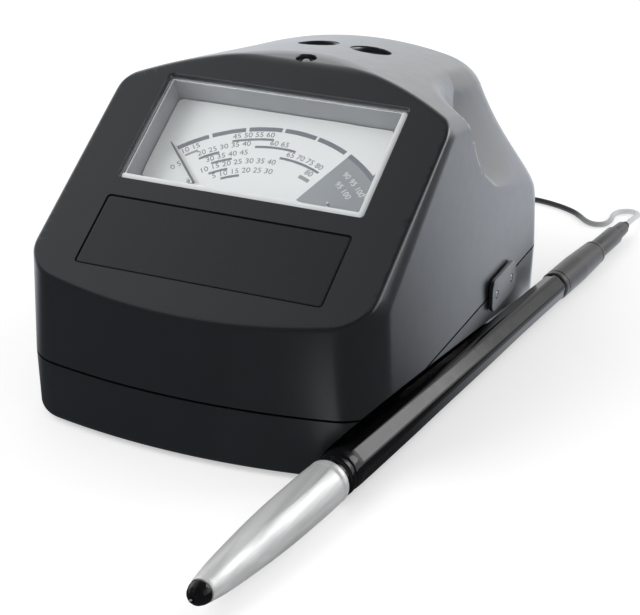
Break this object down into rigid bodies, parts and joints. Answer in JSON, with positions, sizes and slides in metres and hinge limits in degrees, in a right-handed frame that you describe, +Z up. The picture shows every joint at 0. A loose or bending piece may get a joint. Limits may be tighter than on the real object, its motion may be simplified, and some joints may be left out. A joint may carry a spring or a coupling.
{
  "type": "diamond tester",
  "caption": "Bench gem tester with a sloped meter face, window, setting dials and status light, and a corded probe pen resting in a cove beside it.",
  "frame": {"origin": "on the table, under the middle of the box round everything but the cord and what is on it", "axes": "+X to the right seen from the front, +Y to the back, +Z up"},
  "size_m": [0.124, 0.2944, 0.0917],
  "materials": {
    "shell": "satin moulded",
    "gloss_black": "polished",
    "rubber_black": "matt",
    "label": "satin",
    "clear": "clear moulded plastic",
    "paper": "printed card",
    "meter_grey": "moulded",
    "needle": "painted",
    "copper": "wound wire",
    "magnet": "sintered",
    "brass": "stamped",
    "lens": "clear",
    "circuit": "solder mask",
    "steel": "plated",
    "chrome": "polished",
    "cell": "printed sleeve",
    "cord": "matt sheath"
  },
  "bodies": {
    "tester": {"battery_1": "cell", "battery_2": "cell", "battery_3": "cell", "buzzer": "gloss_black", "casing_screw_1": "steel", "casing_screw_2": "steel", "casing_screw_3": "steel", "casing_screw_4": "steel", "contact_left": "brass", "contact_right": "brass", "cord_coil": "cord", "cord_root_run": "cord", "cord_run": "cord", "cord_tie": "rubber_black", "dial_plate": "paper", "foot_1": "rubber_black", "foot_2": "rubber_black", "foot_3": "rubber_black", "foot_4": "rubber_black", "inlet_pin": "steel", "label_plate": "label", "light_ring": "rubber_black", "lower_casing": "shell", "main_board": "circuit", "meter_bridge": "brass", "meter_housing": "meter_grey", "meter_magnet": "magnet", "plate_screw_front": "steel", "plate_screw_rear": "steel", "pointer_stop_left": "needle", "pointer_stop_right": "needle", "potentiometer_left": "circuit", "potentiometer_right": "circuit", "power_inlet": "rubber_black", "probe_plug": "rubber_black", "probe_socket": "rubber_black", "side_plate": "shell", "status_light": "lens", "switch_frame": "rubber_black", "upper_board": "circuit", "upper_casing": "shell", "window_cover": "clear"},
    "pointer_movement": {"pointer": "needle", "meter_coil": "copper"},
    "left_setting": {"setting_dial_left": "rubber_black"},
    "right_setting": {"setting_dial_right": "rubber_black"},
    "battery_cover": {"battery_door": "shell"},
    "power_slider": {"switch_slider": "gloss_black"},
    "probe": {"probe_tip": "gloss_black", "probe_nose": "chrome", "probe_spring": "steel", "probe_sensor": "copper", "probe_collar": "gloss_black", "probe_barrel": "gloss_black", "probe_sleeve": "rubber_black", "probe_tail": "rubber_black", "probe_end_cap": "rubber_black", "probe_strain_relief": "rubber_black"},
    "probe_point": {"probe_needle": "steel"}
  },
  "joints": [
    {"name": "pointer_swing", "type": "hinge", "parent": "tester", "child": "pointer_movement", "pos_m": [-0.00731, -0.03265, 0.05082], "axis": [0, -0.5101, 0.8601], "range_deg": [-90, 0], "stiffness_Nm_per_rad": 0.00002},
    {"name": "left_setting_turn", "type": "hinge", "parent": "tester", "child": "left_setting", "pos_m": [-0.01621, 0.04704, 0.08662], "axis": [0, 0.1959, 0.9806], "range_deg": [-135, 135]},
    {"name": "right_setting_turn", "type": "hinge", "parent": "tester", "child": "right_setting", "pos_m": [0.00159, 0.04704, 0.08662], "axis": [0, 0.1959, 0.9806], "range_deg": [-135, 135]},
    {"name": "battery_cover_drop", "type": "slide", "parent": "tester", "child": "battery_cover", "axis": [0, 0, -1], "range_m": [0, 0.02]},
    {"name": "power_switch_slide", "type": "slide", "parent": "tester", "child": "power_slider", "axis": [1, 0, 0], "range_m": [0, 0.0032]},
    {"name": "probe_lift", "type": "slide", "parent": "tester", "child": "probe", "axis": [0.6534, -0.0594, 0.7547], "range_m": [0, 0.045]},
    {"name": "probe_point_press", "type": "slide", "parent": "probe", "child": "probe_point", "axis": [0.1025, 0.9947, -0.0104], "range_m": [0, 0.0008], "stiffness_N_per_m": 300, "springref_m": -0.001}
  ]
}
